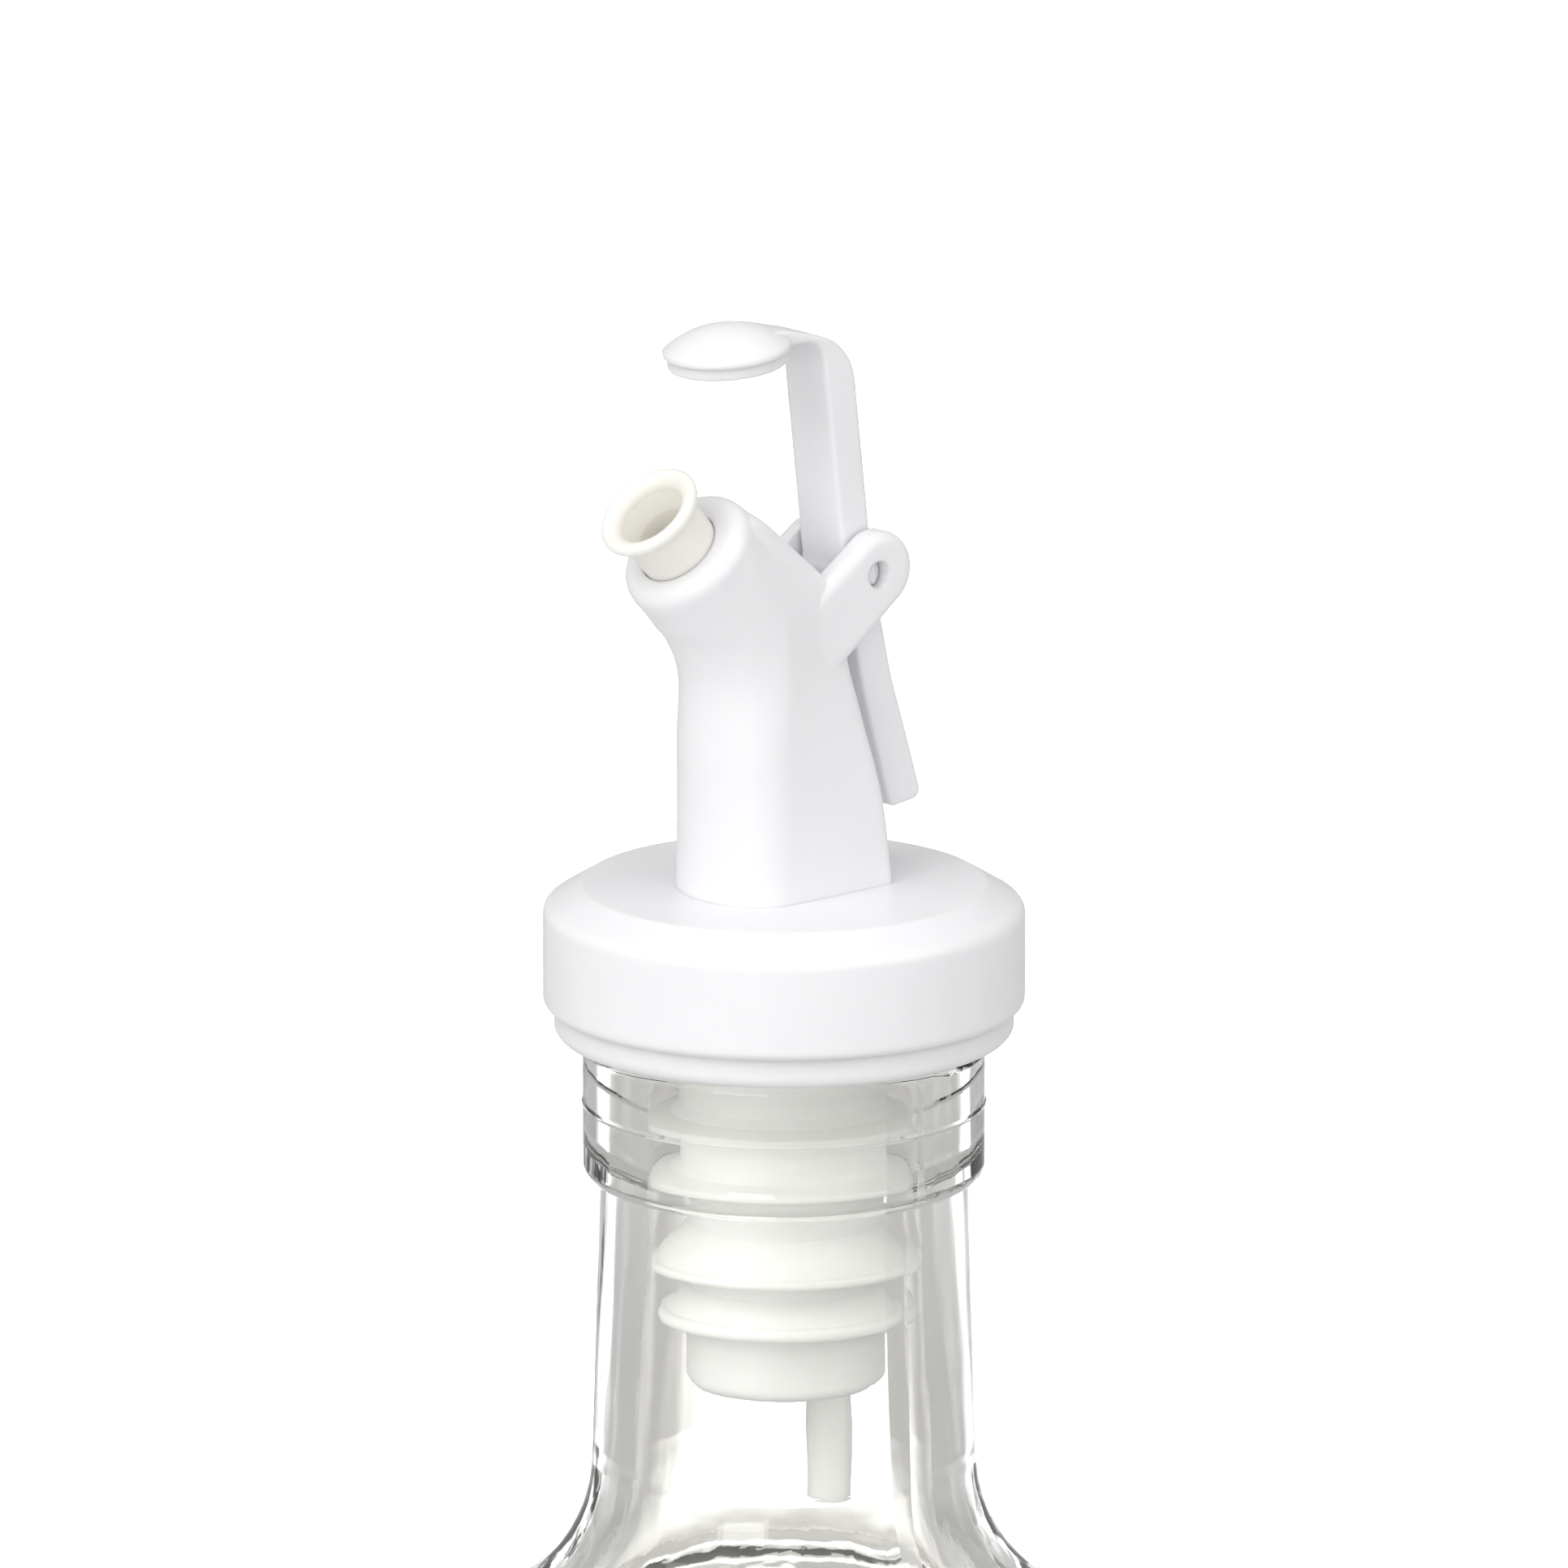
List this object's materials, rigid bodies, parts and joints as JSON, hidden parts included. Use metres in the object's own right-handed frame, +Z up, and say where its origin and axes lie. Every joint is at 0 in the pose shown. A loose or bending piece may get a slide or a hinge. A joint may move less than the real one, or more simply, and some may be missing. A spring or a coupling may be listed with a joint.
{
  "type": "glass oil bottle",
  "caption": "Round clear glass oil bottle closed by a push-in pourer with a slanted spout, a soft nozzle and a hinged lever cap that flips down onto the spout.",
  "frame": {"origin": "Bottom centre of the bottle, on the plane it stands on.", "axes": "+Z up along the bottle axis; the spout points towards -Y; +X runs across, along the lever's hinge pin."},
  "size_m": [0.068, 0.068, 0.2829],
  "materials": {
    "bottle": "smooth clear flint glass with a faint green tint in the thick edges",
    "stopper": "soft translucent white elastomer, satin",
    "housing": "white moulded plastic, softly glossy",
    "nozzle": "ivory silicone, matt",
    "lever": "white moulded plastic, softly glossy",
    "seal_pad": "soft white seal, matt",
    "vent_tube": "white plastic tube, satin"
  },
  "bodies": {
    "bottle": {"bottle": "bottle"},
    "pourer": {"housing": "housing", "stopper": "stopper", "nozzle": "nozzle", "vent_tube": "vent_tube"},
    "lever": {"lever": "lever", "seal_pad": "seal_pad"}
  },
  "joints": [
    {"name": "pourer_lift", "type": "slide", "parent": "bottle", "child": "pourer", "axis": [0, 0, 1], "range_m": [0, 0.05]},
    {"name": "lever_hinge", "type": "hinge", "parent": "pourer", "child": "lever", "pos_m": [0, 0.005, 0.26447], "axis": [1, 0, 0], "range_deg": [0, 34.6]}
  ]
}
